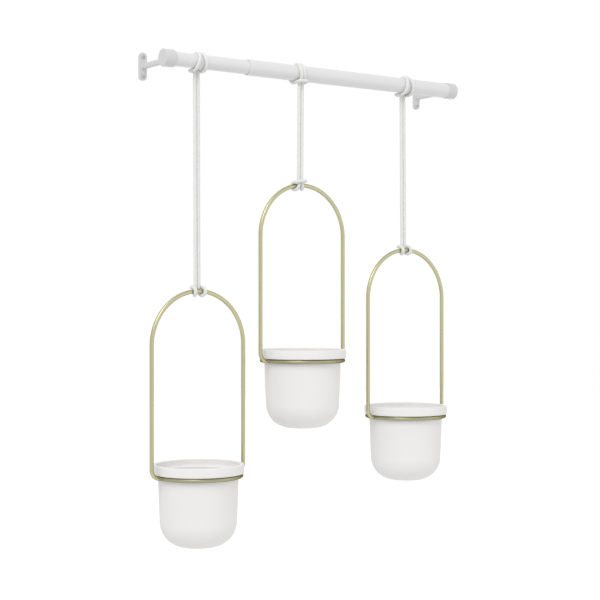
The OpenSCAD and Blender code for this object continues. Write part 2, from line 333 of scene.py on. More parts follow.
class Nodes:
    """Builds one node tree, for a material, a world or a modifier."""

    def __init__(self, tree):
        self.tree = tree
        tree.nodes.clear()

    def add(self, kind, settings=None, inputs=None, output=0):
        """Adds a node: its settings first, then the values or links of its sockets."""
        node = self.tree.nodes.new(kind)
        for name, value in (settings or {}).items():
            setattr(node, name, value)
        pairs = inputs.items() if isinstance(inputs, dict) else enumerate(inputs or [])
        for key, value in pairs:
            self.put(node.inputs[key], value)
        return Value(self, node.outputs[output]) if node.outputs else node

    def put(self, socket, value):
        if isinstance(value, Value):
            self.tree.links.new(value.socket, socket)
        elif value is not None:
            socket.default_value = value

    def other(self, value, output):
        """Another output of the node that a value comes from."""
        return Value(self, value.socket.node.outputs[output])


class Material(Nodes):
    """A material with one Principled shader."""

    def __init__(self, name):
        self.material = bpy.data.materials.new(name)
        self.material.use_nodes = True
        super().__init__(self.material.node_tree)
        self.place = self.add("ShaderNodeTexCoord", output="Object")

    def noise(self, scale, detail, roughness=0.5):
        """Soft noise of so many features to a metre."""
        inputs = {"Vector": self.place, "Scale": scale, "Detail": detail, "Roughness": roughness}
        return self.add("ShaderNodeTexNoise", inputs=inputs)

    def attribute(self, name):
        """A value that the mesh keeps at its points."""
        return self.add("ShaderNodeAttribute", {"attribute_name": name}, output="Fac")

    def mix(self, factor, first, second):
        """A colour between two others."""
        inputs = {0: factor, 6: first, 7: second}
        return self.add("ShaderNodeMix", {"data_type": "RGBA"}, inputs, output=2)

    def bump(self, height, distance, strength):
        """A normal for the shader from a height of 0 to 1."""
        inputs = {"Height": height, "Distance": distance, "Strength": strength}
        return self.add("ShaderNodeBump", inputs=inputs)

    def finish(self, **inputs):
        """Ends the material with its shader."""
        named = {key.replace("_", " "): value for key, value in inputs.items()}
        shader = self.add("ShaderNodeBsdfPrincipled", inputs=named)
        self.add("ShaderNodeOutputMaterial", inputs={"Surface": shader})
        return self.material


def shade(rgb, factor):
    """A colour made lighter or darker."""
    return (*[min(1.0, channel * factor) for channel in rgb], 1.0)


# Finishes


def painted_metal(name, rgb):
    """Satin paint: a soft orange peel and slightly uneven gloss."""
    paint = Material(name)
    clouds = paint.noise(26, 4)
    peel = paint.noise(900, 2)
    grain = paint.noise(3600, 1)
    return paint.finish(
        Base_Color=paint.mix(clouds, shade(rgb, 0.985), shade(rgb, 1.012)),
        Roughness=0.36 + 0.1 * clouds,
        Normal=paint.bump(0.8 * peel + 0.2 * grain, 0.05 * MM, 0.45),
        Coat_Roughness=0.3,
        Coat_Weight=0.12,
    )


def coated_screw(name, rgb):
    """White coated steel, worn a little where a driver has turned in the cross."""
    coat = Material(name)
    clouds = coat.noise(400, 3)
    wear = (coat.noise(1500, 4) - 0.62) * 9
    mask = wear.high(0).low(1) * 0.35
    return coat.finish(
        Base_Color=coat.mix(mask, shade(rgb, 1), shade((0.55, 0.55, 0.56), 1)),
        Metallic=mask,
        Roughness=0.38 + 0.12 * clouds,
        Normal=coat.bump(clouds, 0.03 * MM, 0.3),
    )


def satin_brass(name, rgb):
    """Brushed and plated brass: fine streaks, soft clouds and a tinted gloss."""
    brass = Material(name)
    clouds = brass.noise(34, 4)
    specks = brass.noise(1400, 3)
    grain = brass.noise(5200, 2)
    return brass.finish(
        Base_Color=brass.mix(clouds, shade(rgb, 0.96), shade(rgb, 1.04)),
        Metallic=1.0,
        Roughness=0.3 + 0.08 * clouds + 0.06 * specks,
        Normal=brass.bump(0.6 * grain + 0.4 * specks, 0.02 * MM, 0.3),
        Specular_Tint=(0.3, 0.27, 0.16, 1),
    )


def braided_yarn(name, rgb):
    """White yarn: painted shade darkens the braid's grooves a little, faint clouds vary its tone and
    fine fibres run along each yarn.
    """
    yarn = Material(name)
    height = yarn.attribute("braid_height")
    twist = yarn.attribute("braid_twist")
    fibre = yarn.noise(2600, 2)
    clouds = yarn.noise(60, 3)
    # Painted shade in the braid's grooves from the braid's height, plus faint clouds of tone
    groove_shade_and_tone = (0.25 + 0.75 * height + 0.12 * clouds).low(1)
    return yarn.finish(
        Base_Color=yarn.mix(groove_shade_and_tone, shade(rgb, 0.95), shade(rgb, 1.01)),
        Roughness=0.82 + 0.1 * fibre,
        Normal=yarn.bump(0.5 * twist + 0.5 * fibre, 0.08 * MM, 0.25),
        Sheen_Weight=0.25,
        Sheen_Roughness=0.45,
    )


def matt_pot(name, rgb):
    """Matt white glaze: a fine tooth, faint clouds and a slightly smoother skin in places."""
    glaze = Material(name)
    clouds = glaze.noise(14, 5)
    patches = glaze.noise(75, 4)
    tooth = glaze.noise(1300, 3, 0.6)
    return glaze.finish(
        Base_Color=glaze.mix(0.6 * clouds + 0.4 * patches, shade(rgb, 0.975), shade(rgb, 1.015)),
        Roughness=0.58 + 0.16 * patches,
        Normal=glaze.bump(0.75 * tooth + 0.25 * patches, 0.06 * MM, 0.4),
    )


# Mesh makers


def mesh_object(name, vertices, faces, edges=()):
    mesh = bpy.data.meshes.new(name)
    mesh.from_pydata([tuple(v) for v in vertices], list(edges), [tuple(f) for f in faces])
    made = bpy.data.objects.new(name, mesh)
    bpy.context.scene.collection.objects.link(made)
    return made


def tidy_mesh(made, material=None):
    """Merges doubles, turns the faces outwards and shades them smooth."""
    cleaner = bmesh.new()
    cleaner.from_mesh(made.data)
    bmesh.ops.remove_doubles(cleaner, verts=cleaner.verts, dist=MERGE_DISTANCE)
    bmesh.ops.recalc_face_normals(cleaner, faces=cleaner.faces)
    cleaner.to_mesh(made.data)
    cleaner.free()
    made.data.shade_smooth()
    if material is not None:
        made.data.materials.clear()
        made.data.materials.append(material)
    return made


def join(first, *others):
    """Joins meshes into one object that keeps the first one's name."""
    joined = bmesh.new()
    for made in (first, *others):
        joined.from_mesh(made.data)
    joined.to_mesh(first.data)
    joined.free()
    for made in others:
        bpy.data.objects.remove(made)
    first.data.shade_smooth()
    return first


def filleted(corners, steps):
    """A line through corners (x, y, radius), with each corner rounded to its radius."""
    line = []
    for i, (x, y, radius) in enumerate(corners):
        corner = Vector((x, y))
        if radius == 0 or i in (0, len(corners) - 1):
            line.append(corner)
            continue
        back = (Vector(corners[i - 1][:2]) - corner).normalized()
        ahead = (Vector(corners[i + 1][:2]) - corner).normalized()
        half = back.angle(ahead) / 2
        reach = radius / math.tan(half)
        centre = corner + (back + ahead).normalized() * (radius / math.sin(half))
        first, last = corner + back * reach - centre, corner + ahead * reach - centre
        turn = first.angle_signed(last)
        line += [centre + Matrix.Rotation(-turn * k / steps, 2) @ first for k in range(steps + 1)]
    return line


def spread(line, step):
    """The same line with points no further apart than a step."""
    points = []
    for a, b in zip(line, line[1:]):
        count = max(1, math.ceil((b - a).length / step))
        points += [a.lerp(b, k / count) for k in range(count)]
    return points + [line[-1]]


def lathe(name, line, turns, closed=False):
    """Turns a line of (radius, height) about Z. Points on the axis become one pole."""
    vertices, rows = [], []
    for radius, height in line:
        if radius < MERGE_DISTANCE:
            rows.append([len(vertices)] * turns)
            vertices.append((0, 0, height))
            continue
        rows.append(list(range(len(vertices), len(vertices) + turns)))
        for k in range(turns):
            turn = 2 * math.pi * k / turns
            vertices.append((radius * math.cos(turn), radius * math.sin(turn), height))
    faces = []
    pairs = list(zip(rows, rows[1:])) + ([(rows[-1], rows[0])] if closed else [])
    for low, high in pairs:
        for k in range(turns):
            n = (k + 1) % turns
            face = list(dict.fromkeys([low[k], low[n], high[n], high[k]]))
            if len(face) > 2:
                faces.append(face)
    return mesh_object(name, vertices, faces)


def path_object(name, points, cyclic):
    """A line of edges for a modifier to follow."""
    count = len(points)
    edges = [(i, (i + 1) % count) for i in range(count if cyclic else count - 1)]
    return mesh_object(name, points, [], edges)


def settled(made):
    """The object with its modifiers turned into plain mesh."""
    bpy.context.view_layer.update()
    graph = bpy.context.evaluated_depsgraph_get()
    mesh = bpy.data.meshes.new_from_object(made.evaluated_get(graph), depsgraph=graph)
    made.modifiers.clear()
    made.data = mesh
    return made


def wall_screw(sizes):
    """One screw along Z, with its raised head's rim at 0 and its shank's end below."""
    head_r, shank_r = sizes.head_d / 2, sizes.shank_d / 2
    turns, rings = SCREW_TURNS, SCREW_RINGS
    shank_end = sizes.sink - sizes.plate_t
    rows = []
    for k in range(rings + 1):
        radius = (head_r - RIM_STEP) * k / rings
        dome = sizes.dome_h * (1 - (radius / head_r) ** 2)
        row = []
        for j in range(turns):
            turn = 2 * math.pi * j / turns
            place = (radius * math.cos(turn), radius * math.sin(turn))
            row.append((radius, dome - cross_share(*place, head_r) * sizes.cross_depth))
        rows.append(row)
    side = [
        (head_r, -RIM_STEP),
        (head_r, -sizes.head_rim),
        (shank_r, -sizes.head_h),
        (shank_r, shank_end),
        (0, shank_end),
    ]
    rows += [[point] * turns for point in side]
    vertices, faces = [], []
    for row in rows:
        for j, (radius, height) in enumerate(row):
            turn = 2 * math.pi * j / turns
            vertices.append((radius * math.cos(turn), radius * math.sin(turn), height))
    for i in range(len(rows) - 1):
        for j in range(turns):
            n = (j + 1) % turns
            faces.append((i * turns + j, i * turns + n, (i + 1) * turns + n, (i + 1) * turns + j))
    return mesh_object("wall_screw", vertices, faces)


def cross_share(x, y, head_r):
    """How deep the driver's cross is at a place on the head: 1 is its full depth."""
    reach, half, ramp = CROSS_REACH * head_r, CROSS_HALF * head_r, CROSS_RAMP * head_r
    arms = []
    for along, across in ((x, y), (y, x)):
        inside = min((reach - abs(along)) / (2 * ramp), (half - abs(across)) / ramp)
        arms.append(min(1, max(0, inside)))
    return max(arms) * (1 - math.hypot(x, y) / (CROSS_FADE * head_r))


# Geometry Nodes


class Modifier(Nodes):
    """A Geometry Nodes tree with named inputs."""

    def __init__(self, name, sockets):
        self.group = bpy.data.node_groups.new(name, "GeometryNodeTree")
        super().__init__(self.group)
        face = self.group.interface
        face.new_socket("Geometry", in_out="INPUT", socket_type="NodeSocketGeometry")
        for title, kind in sockets.items():
            face.new_socket(title, in_out="INPUT", socket_type="NodeSocket" + kind)
        face.new_socket("Geometry", in_out="OUTPUT", socket_type="NodeSocketGeometry")
        self.given = self.add("NodeGroupInput")

    def named(self, title):
        return self.other(self.given, title)

    def capture(self, geometry, value, title):
        """Keeps a value of a curve's points, so that the mesh made from it can read it."""
        node = self.tree.nodes.new("GeometryNodeCaptureAttribute")
        node.capture_items.new("FLOAT", title)
        self.put(node.inputs["Geometry"], geometry)
        self.put(node.inputs[title], value)
        return Value(self, node.outputs["Geometry"]), Value(self, node.outputs[title])

    def keep(self, geometry, value, title):
        """Stores a value on the mesh for its material."""
        inputs = {"Geometry": geometry, "Name": title, "Value": value}
        settings = {"data_type": "FLOAT", "domain": "POINT"}
        return self.add("GeometryNodeStoreNamedAttribute", settings, inputs)

    def finish(self, geometry):
        """Ends the tree: smooth shading, real mesh and its material."""
        smooth = self.add(
            "GeometryNodeSetShadeSmooth",
            inputs={"Geometry": geometry, "Shade Smooth": True},
        )
        real = self.add("GeometryNodeRealizeInstances", inputs={"Geometry": smooth})
        done = self.add(
            "GeometryNodeSetMaterial",
            inputs={"Geometry": real, "Material": self.named("Material")},
        )
        self.add("NodeGroupOutput", inputs={"Geometry": done})
        return self.group

    @staticmethod
    def run(group, source, name, values):
        """Applies a tree to an object and returns the plain mesh as a new object."""
        modifier = source.modifiers.new(group.name, "NODES")
        modifier.node_group = group
        for item in group.interface.items_tree:
            if item.in_out == "INPUT" and item.name in values:
                modifier[item.identifier] = values[item.name]
        bpy.context.view_layer.update()
        graph = bpy.context.evaluated_depsgraph_get()
        mesh = bpy.data.meshes.new_from_object(source.evaluated_get(graph), depsgraph=graph)
        source.modifiers.remove(modifier)
        bpy.data.objects.remove(source)
        mesh.name = name
        made = bpy.data.objects.new(name, mesh)
        bpy.context.scene.collection.objects.link(made)
        return made


def swept_wire_tree():
    """A round wire along a path, with rounded ends."""
    sockets = {
        "Diameter": "Float",
        "Step": "Float",
        "Sides": "Int",
        "End Round": "Float",
        "Material": "Material",
    }
    tree = Modifier("Swept Wire", sockets)
    curve = tree.add("GeometryNodeMeshToCurve", inputs={"Mesh": tree.named("Geometry")})
    resampled = tree.add(
        "GeometryNodeResampleCurve",
        {"mode": "LENGTH"},
        {"Curve": curve, "Length": tree.named("Step")},
    )
    along = tree.add("GeometryNodeSplineParameter", output="Length")
    whole = tree.add("GeometryNodeSplineLength")
    near = (along.low(whole - along) / tree.named("End Round").high(0.0001 * MM)).low(1)
    near = near.high(1 - tree.named("End Round").math("GREATER_THAN", 0))
    swell = (1 - (1 - near) ** 2).high(0.0004) ** 0.5
    profile = tree.add(
        "GeometryNodeCurvePrimitiveCircle",
        {"mode": "RADIUS"},
        {"Resolution": tree.named("Sides"), "Radius": tree.named("Diameter") / 2},
    )
    curve, scale = tree.capture(resampled, swell, "Swell")
    mesh = tree.add(
        "GeometryNodeCurveToMesh",
        inputs={"Curve": curve, "Profile Curve": profile, "Scale": scale, "Fill Caps": True},
    )
    return tree.finish(mesh)


def braided_cord_tree():
    """A cord along a closed path, whose surface is a braid of yarns that cross over and under."""
    sockets = {
        "Diameter": "Float",
        "Step": "Float",
        "Sides": "Int",
        "Carriers": "Float",
        "Cell": "Float",
        "Depth": "Float",
        "Material": "Material",
    }
    tree = Modifier("Braided Cord", sockets)
    curve = tree.add("GeometryNodeMeshToCurve", inputs={"Mesh": tree.named("Geometry")})
    resampled = tree.add(
        "GeometryNodeResampleCurve",
        {"mode": "LENGTH"},
        {"Curve": curve, "Length": tree.named("Step")},
    )
    factor = tree.add("GeometryNodeSplineParameter", output="Factor")
    whole = tree.add("GeometryNodeSplineLength")
    cells = (whole / tree.named("Cell")).math("ROUND")
    curve, along = tree.capture(resampled, factor * cells, "Along")
    circle = tree.add(
        "GeometryNodeCurvePrimitiveCircle",
        {"mode": "RADIUS"},
        {"Resolution": tree.named("Sides"), "Radius": tree.named("Diameter") / 2},
    )
    round_factor = tree.add("GeometryNodeSplineParameter", output="Factor")
    profile, around = tree.capture(circle, round_factor, "Around")
    mesh = tree.add(
        "GeometryNodeCurveToMesh",
        inputs={"Curve": curve, "Profile Curve": profile},
    )
    rising = (around * tree.named("Carriers") + along) * math.pi
    falling = (around * tree.named("Carriers") - along) * math.pi
    over = rising.sin() * falling.sin()
    rising_yarn = abs(rising.sin()) ** 0.6 * (0.55 + 0.45 * over)
    falling_yarn = abs(falling.sin()) ** 0.6 * (0.55 - 0.45 * over)
    height = rising_yarn.high(falling_yarn)
    plies = (rising * 3).sin() * (0.5 + 0.5 * over) + (falling * 3).sin() * (0.5 - 0.5 * over)
    normal = tree.add("GeometryNodeInputNormal")
    offset = tree.add(
        "ShaderNodeVectorMath",
        {"operation": "SCALE"},
        {"Vector": normal, "Scale": (height - 1) * tree.named("Depth")},
    )
    moved = tree.add("GeometryNodeSetPosition", inputs={"Geometry": mesh, "Offset": offset})
    kept = tree.keep(moved, height, "braid_height")
    kept = tree.keep(kept, plies, "braid_twist")
    return tree.finish(kept)


def at_points_tree():
    """The same piece at every point."""
    tree = Modifier("Piece at Points", {"Piece": "Object", "Material": "Material"})
    piece = tree.add("GeometryNodeObjectInfo", inputs={"Object": tree.named("Piece")}, output="Geometry")
    placed = tree.add(
        "GeometryNodeInstanceOnPoints",
        inputs={"Points": tree.named("Geometry"), "Instance": piece},
    )
    return tree.finish(placed)


# The cords' path


class Knot:
    """Path of a lark's head knot: along the bar, towards the bight, away from the strands."""

    LOOP = 120  # points on a full turn
    LEAN_END = math.radians(200)  # turn at which a leaning wrap is upright again
    BEND_SHARE = 0.75  # bend radius of the bight's corners, in cord pitches

    def __init__(self, bar_r, offset, spread, cords, lean=0.0, crowding=1.0):
        self.pitch = cords.cord_d + cords.strand_gap
        self.strand = self.pitch / 2
        self.out = self.strand + self.pitch * crowding
        self.wrap = bar_r + cords.bar_gap + cords.cord_d / 2
        self.bend = self.BEND_SHARE * self.pitch
        self.offset = offset
        self.lean = lean
        self.spread = [math.radians(turn) for turn in spread]
        reach = self.wrap + self.pitch
        self.first = math.asin((offset + self.pitch) / reach)
        self.last = 2 * math.pi + max(self.first, cords.bight_turn) - math.acos(self.wrap / reach)
        self.run = math.sqrt(reach**2 - self.wrap**2)
        self.foot = -reach * math.cos(self.first)

    def strand_bend(self):
        """The strand bends outwards until it touches the wrap's circle."""
        last = math.pi / 2 + self.first
        count = math.ceil(self.LOOP * (math.pi - last) / (2 * math.pi))
        for i in range(count):
            turn = math.pi + (last - math.pi) * i / count
            yield (
                self.strand,
                self.offset + self.pitch * (1 + math.cos(turn)),
                self.foot + self.pitch * math.sin(turn),
            )

    def round_bar(self):
        """It goes once round the bar and moves outwards on the way."""
        count = math.ceil(self.LOOP * (self.last - self.first) / (2 * math.pi))
        start, whole = self.spread
        for i in range(count + 1):
            turn = self.first + (self.last - self.first) * i / count
            moved = min(1, max(0, (turn - start) / whole))
            out = (1 - math.cos(math.pi * moved)) / 2
            yield (
                self.strand + (self.out - self.strand) * out,
                self.wrap * math.sin(turn),
                -self.wrap * math.cos(turn),
            )

    def corner(self):
        """It runs off straight, turns in and so becomes the bight over the strands."""
        count = math.ceil(self.LOOP / 4)
        for i in range(count + 1):
            turn = math.pi / 2 * i / count
            along = self.run - self.bend * (1 - math.sin(turn))
            yield (
                self.out - self.bend * (1 - math.cos(turn)),
                self.wrap * math.sin(self.last) + along * math.cos(self.last),
                -self.wrap * math.cos(self.last) + along * math.sin(self.last),
            )

    def points(self):
        """Both halves. Both wraps may lean along the bar where they leave the strands."""
        bend, loop, corner = list(self.strand_bend()), list(self.round_bar()), list(self.corner())
        step = (self.last - self.first) / (len(loop) - 1) / (self.LEAN_END - self.first)
        leans = [math.sin(math.pi * min(1, i * step)) ** 2 for i in range(len(loop))]
        lean = [self.lean * part for part in [0.0] * len(bend) + leans + [0.0] * len(corner)]
        half = [*bend, *loop, *corner]
        left = [(x + aside, y, z) for (x, y, z), aside in zip(half, lean)]
        right = [(aside - x, y, z) for (x, y, z), aside in zip(half, lean)]
        return left + right[::-1]


BIGHT_SIDES = {"left": 1, "middle": -1, "right": 1}

# Start and length, in degrees round the bar, of the stretch in which a wrap moves outwards
ROD_SPREAD = (175, 160)
HOOP_SPREAD = (45, 240)


def cord_loop(side, cords, bar_r, hanger):
    """The closed path of one cord: the knot on the rod, down, the knot on the hoop and up."""
    lean = cords.middle_lean if side == "middle" else 0.0
    upper = Knot(bar_r, cords.rod_offset, ROD_SPREAD, cords, lean, cords.crowding)
    lower = Knot(hanger.wire_r, cords.hoop_offset, HOOP_SPREAD, cords)
    shift = getattr(cords, side + "_shift")
    bight = BIGHT_SIDES[side]
    rod_y, rod_z = frame_middle("outer_tube", "y"), frame_middle("outer_tube", "z")
    top = []
    for x, y, z in upper.points():
        squeezed = z - cords.squeeze * max(0, 1 + z / upper.wrap) / 2
        top.append((hanger.x + shift + x, rod_y + bight * y, rod_z + squeezed))
    low = []
    for x, y, z in reversed(lower.points()):
        drop = hanger.arch_r - math.sqrt(hanger.arch_r**2 - (x + shift) ** 2)
        low.append((hanger.x + shift + x, hanger.y + bight * y, hanger.top - z - drop))
    return top + low


def press_on_rod(loop, radius):
    """Flattens a cord where it would reach into the rod."""
    middle = np.array((frame_middle("outer_tube", "y"), frame_middle("outer_tube", "z")))
    places = np.empty(len(loop.data.vertices) * 3)
    loop.data.vertices.foreach_get("co", places)
    places = places.reshape(-1, 3)
    away = places[:, 1:] - middle
    reach = np.linalg.norm(away, axis=1)
    inside = reach < radius
    places[inside, 1:] = middle + away[inside] * (radius / reach[inside])[:, None]
    loop.data.vertices.foreach_set("co", places.ravel())
    loop.data.update()


# Hanger shape


class Hanger:
    """Places of one hanger, read from the frame."""

    def __init__(self, side, sizes):
        hoop, ring = side + "_hoop", side + "_ring"
        low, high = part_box(hoop)
        self.wire_r = sizes.wire_d / 2
        self.x = frame_middle(hoop, "x")
        self.y = frame_middle(ring, "y")
        self.top = high.z - self.wire_r
        self.foot = low.z + self.wire_r
        self.arch_r = frame_span(hoop, "x") / 2 - self.wire_r
        self.ring_r = frame_span(ring, "x") / 2 - self.wire_r
        self.bend = sizes.foot_bend

    def at(self, x, y, z):
        return (self.x + x, self.y + y, z)

    def hoop_path(self):
        """From the ring's axis up one leg, over the arch and down to the ring's other side."""
        half = [Vector((-self.ring_r, 0, self.foot))]
        for k in range(FOOT_STEPS + 1):
            turn = math.pi / 2 * k / FOOT_STEPS
            inwards = self.bend * (1 - math.sin(turn))
            half.append(Vector((inwards - self.arch_r, 0, self.foot + self.bend * (1 - math.cos(turn)))))
        centre = self.top - self.arch_r
        arch = []
        for k in range(ARCH_STEPS + 1):
            turn = math.pi * (1 - k / ARCH_STEPS)
            arch.append((self.arch_r * math.cos(turn), 0, centre + self.arch_r * math.sin(turn)))
        other = [(-p.x, p.y, p.z) for p in reversed(half)]
        return [self.at(*p) for p in [*half, *arch, *other]]

    def ring_path(self):
        """Once round the ring's axis."""
        turns = [2 * math.pi * k / RING_STEPS for k in range(RING_STEPS)]
        return [self.at(self.ring_r * math.cos(t), self.ring_r * math.sin(t), self.foot) for t in turns]

    def weld_paths(self, height):
        """Upright beads in the corners between each foot and the ring."""
        reach = self.ring_r + WELD_REACH * self.wire_r
        aside = WELD_ASIDE * self.wire_r
        rises = [height * (k / WELD_STEPS - 0.5) for k in range(WELD_STEPS + 1)]
        for x in (-reach, reach):
            for y in (-aside, aside):
                yield [self.at(x, y, self.foot + rise) for rise in rises]


# Stage


def area_lamp(name, place, target, size, power):
    """A round white lamp that shines at a target."""
    data = bpy.data.lights.new(name, "AREA")
    data.shape = "DISK"
    data.size = size
    data.energy = power
    lamp = bpy.data.objects.new(name, data)
    lamp.location = place
    lamp.rotation_mode = "QUATERNION"
    lamp.rotation_quaternion = (Vector(target) - Vector(place)).to_track_quat("-Z", "Y")
    bpy.context.scene.collection.objects.link(lamp)


def seen_rays(nodes):
    """1 for rays from the camera and from gloss or glass, 0 for the light itself."""
    camera = nodes.add("ShaderNodeLightPath", output="Is Camera Ray")
    glossy = nodes.other(camera, "Is Glossy Ray")
    through = nodes.other(camera, "Is Transmission Ray")
    return (camera + glossy + through).low(1)


def pale_world(strength):
    world = bpy.data.worlds.new("Studio")
    world.use_nodes = True
    nodes = Nodes(world.node_tree)
    level = strength + (1 - strength) * seen_rays(nodes)
    sky = nodes.add("ShaderNodeBackground", inputs={"Color": (1, 1, 1, 1), "Strength": level})
    nodes.add("ShaderNodeOutputWorld", inputs={"Surface": sky})
    return world


def pale_floor(rgb):
    """A floor that shows shadows and is otherwise as white as the backdrop."""
    nodes = Material("Floor")
    clouds = nodes.noise(1.5, 2)
    diffuse = nodes.add(
        "ShaderNodeBsdfDiffuse",
        inputs={"Color": nodes.mix(clouds, shade(rgb, 0.99), shade(rgb, 1))},
    )
    glow = nodes.add(
        "ShaderNodeEmission",
        inputs={"Color": (1, 1, 1, 1), "Strength": FLOOR_GLOW * seen_rays(nodes)},
    )
    both = nodes.add("ShaderNodeAddShader", inputs=[diffuse, glow])
    nodes.add("ShaderNodeOutputMaterial", inputs={"Surface": both})
    return nodes.material


# Operators


class PLANTER_OT_stage(Operator):
    """Makes the camera, the floor and the light"""

    bl_idname = "planter.stage"
    bl_label = "Stage"

    def execute(self, context):
        scene = context.scene
        sizes, colours = scene.planter_stage, scene.planter_finishes
        data = bpy.data.cameras.new("Camera")
        data.lens = sizes.lens
        data.clip_start = CLIP_START
        data.clip_end = CLIP_END
        camera = bpy.data.objects.new("Camera", data)
        camera.location = (sizes.camera_x, sizes.camera_y, sizes.camera_z)
        camera.rotation_euler = (math.pi / 2, 0, sizes.azimuth)
        scene.collection.objects.link(camera)
        scene.camera = camera
        scene.view_settings.view_transform = "Standard"
        scene.world = pale_world(sizes.sky_strength)
        half = FLOOR_HALF
        corners = [(-half, -half), (half, -half), (half, half), (-half, half)]
        floor = mesh_object("Floor", [(x, y, sizes.floor_z) for x, y in corners], [(0, 1, 2, 3)])
        floor.data.materials.append(pale_floor(colours.floor))
        middle = (0, frame_middle("outer_tube", "y"), AIM_Z)
        area_lamp("Key", KEY_PLACE, middle, KEY_SIZE, sizes.key_strength)
        area_lamp("Fill", FILL_PLACE, middle, FILL_SIZE, sizes.fill_strength)
        return {"FINISHED"}


class PLANTER_OT_cords(Operator):
    """Makes the three doubled cords, each one unbroken loop with a knot at both ends"""

    bl_idname = "planter.cords"
    bl_label = "Cords"

    def execute(self, context):
        scene = context.scene
        cords, rod = scene.planter_cords, scene.planter_rod
        tree = braided_cord_tree()
        material = braided_yarn("Cord Yarn", scene.planter_finishes.cord_white)
        bars = {"left": rod.inner_d / 2, "middle": rod.outer_d / 2, "right": rod.outer_d / 2}
        for side in SIDES:
            hanger = Hanger(side, scene.planter_hangers)
            name = side + "_cord_loop"
            path = path_object(name + "_path", cord_loop(side, cords, bars[side], hanger), True)
            values = {
                "Diameter": cords.cord_d,
                "Step": CORD_STEP,
                "Sides": CORD_SIDES,
                "Carriers": float(cords.carriers),
                "Cell": cords.braid_cell,
                "Depth": cords.braid_depth,
                "Material": material,
            }
            loop = Modifier.run(tree, path, name, values)
            press_on_rod(loop, bars[side] + cords.press_gap)
            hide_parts(side + "_rod_hitch", side + "_cord")
            middle = (cords.rod_offset + cords.hoop_offset) / 2
            place = (hanger.x + getattr(cords, side + "_shift"), hanger.y + BIGHT_SIDES[side] * middle)
            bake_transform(loop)
        return {"FINISHED"}


class PLANTER_OT_rod(Operator):
    """Makes the two tubes that slide in each other"""

    bl_idname = "planter.rod"
    bl_label = "Rod"

    def execute(self, context):
        scene = context.scene
        rod = scene.planter_rod
        paint = painted_metal("Rod Paint", scene.planter_finishes.tube_white)
        tubes = [
            ("outer_tube", "fixed_side", rod.outer_d / 2, rod.outer_wall, -1),
            ("inner_tube", "sliding_side", rod.inner_d / 2, rod.inner_wall, 1),
        ]
        for node, body, radius, wall, way in tubes:
            low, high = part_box(node)
            reach = high.x - low.x
            edge = rod.mouth_round
            corners = [
                (radius, 0, 0),
                (radius, reach, edge),
                (radius - wall, reach, edge),
                (radius - wall, 0, 0),
            ]
            line = spread(filleted(corners, TUBE_FILLET_STEPS), TUBE_STEP)
            tube = lathe(node + "_painted", line, TUBE_TURNS, closed=True)
            start = low.x if way > 0 else high.x
            turn = Matrix.Rotation(way * math.pi / 2, 4, "Y")
            place = Matrix.Translation((start, frame_middle(node, "y"), frame_middle(node, "z")))
            tube.data.transform(place @ turn)
            tidy_mesh(tube, paint)
            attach(tube, body)
            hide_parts(node)
        return {"FINISHED"}


class PLANTER_OT_brackets(Operator):
    """Makes the two cast wall brackets with softened edges"""

    bl_idname = "planter.brackets"
    bl_label = "Brackets"

    def execute(self, context):
        scene = context.scene
        paint = painted_metal("Bracket Paint", scene.planter_finishes.bracket_white)
        for side, body in END_BODIES.items():
            node = side + "_bracket"
            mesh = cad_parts[node].data.copy()
            cast = bpy.data.objects.new(node + "_cast", mesh)
            scene.collection.objects.link(cast)
            tidy_mesh(cast, paint)
            remesh = cast.modifiers.new("Remesh", "REMESH")
            remesh.mode = "VOXEL"
            remesh.voxel_size = CAST_VOXEL
            soften = cast.modifiers.new("Soften", "SMOOTH")
            soften.factor = CAST_SMOOTHING
            soften.iterations = CAST_ROUNDS
            cast = settled(cast)
            tidy_mesh(cast, paint)
            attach(cast, body)
            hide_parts(node)
        return {"FINISHED"}


class PLANTER_OT_screws(Operator):
    """Puts four screws in the plates' holes"""

    bl_idname = "planter.screws"
    bl_label = "Wall Screws"

    def execute(self, context):
        scene = context.scene
        sizes = scene.planter_screws
        coat = coated_screw("Screw Coating", scene.planter_finishes.screw_white)
        tree = at_points_tree()
        screw = tidy_mesh(wall_screw(sizes))
        screw.data.transform(Matrix.Rotation(math.pi / 2, 4, "X"))
        for side, body in END_BODIES.items():
            low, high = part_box(side + "_bracket")
            x = low.x + sizes.plate_inset if side == "left" else high.x - sizes.plate_inset
            places = [(x, sizes.sink - sizes.plate_t, rise * sizes.spacing) for rise in (-0.5, 0.5)]
            name = side + "_screws"
            points = mesh_object(name + "_places", places, [])
            made = Modifier.run(tree, points, name, {"Piece": screw, "Material": coat})
            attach(made, body)
        bpy.data.objects.remove(screw)
        return {"FINISHED"}


